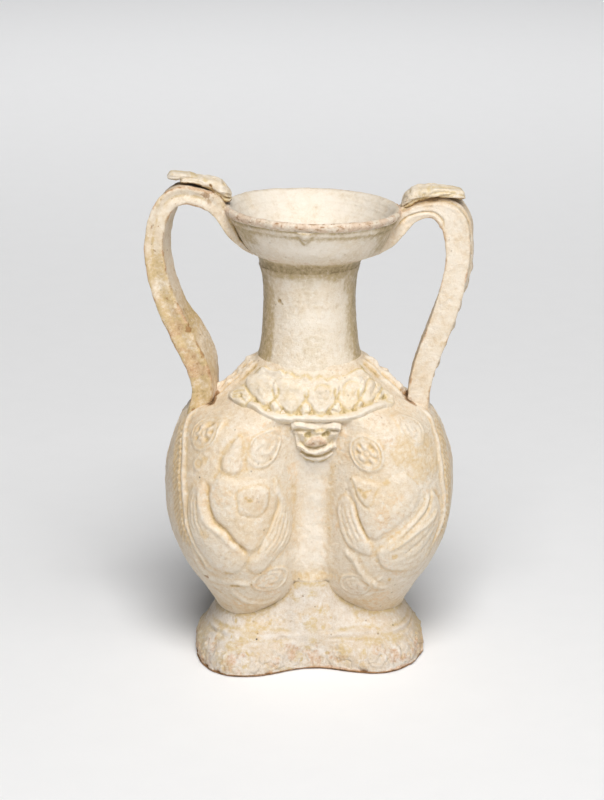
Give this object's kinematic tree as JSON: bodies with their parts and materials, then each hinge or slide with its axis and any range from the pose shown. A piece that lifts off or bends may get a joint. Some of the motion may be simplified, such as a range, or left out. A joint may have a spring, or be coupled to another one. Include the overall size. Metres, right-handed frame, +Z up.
{
  "type": "double-bodied amphora vase",
  "caption": "Glazed ceramic vase with a double body on a figure-eight foot, a dish mouth on a tall neck, and strap handles with dragon heads that bite the rim.",
  "frame": {"origin": "middle of the flat underside of the foot", "axes": "+Z up the neck; -Y out of the moulded front; the handles stand along X, the right-hand one at +X when seen from the front"},
  "size_m": [0.1314, 0.0708, 0.1995],
  "materials": {
    "glaze_body": "straw-coloured glaze over white slip, olive where it pools in the moulded relief",
    "glaze_relief": "straw-coloured glaze, thin on the high points and olive in the hollows",
    "glaze_neck": "smooth cream glaze with a worn buff lip",
    "glaze_handle": "thin cream glaze worn to buff clay on the edges",
    "foot_clay": "cream glaze that stops short of a bare buff clay edge"
  },
  "bodies": {
    "root": {"foot_front": "foot_clay", "foot_back": "foot_clay", "body_left_front": "glaze_body", "body_left_back": "glaze_body", "body_right_front": "glaze_body", "body_right_back": "glaze_body", "groove_fillet_front": "glaze_body", "groove_fillet_back": "glaze_body", "collar_front": "glaze_relief", "collar_back": "glaze_relief", "mask_front": "glaze_relief", "mask_back": "glaze_relief", "neck": "glaze_neck", "mouth_dish": "glaze_neck", "handle_left": "glaze_handle", "handle_right": "glaze_handle", "handle_spine_left": "glaze_handle", "handle_spine_right": "glaze_handle", "dragon_head_left": "glaze_relief", "dragon_head_right": "glaze_relief"}
  },
  "joints": []
}
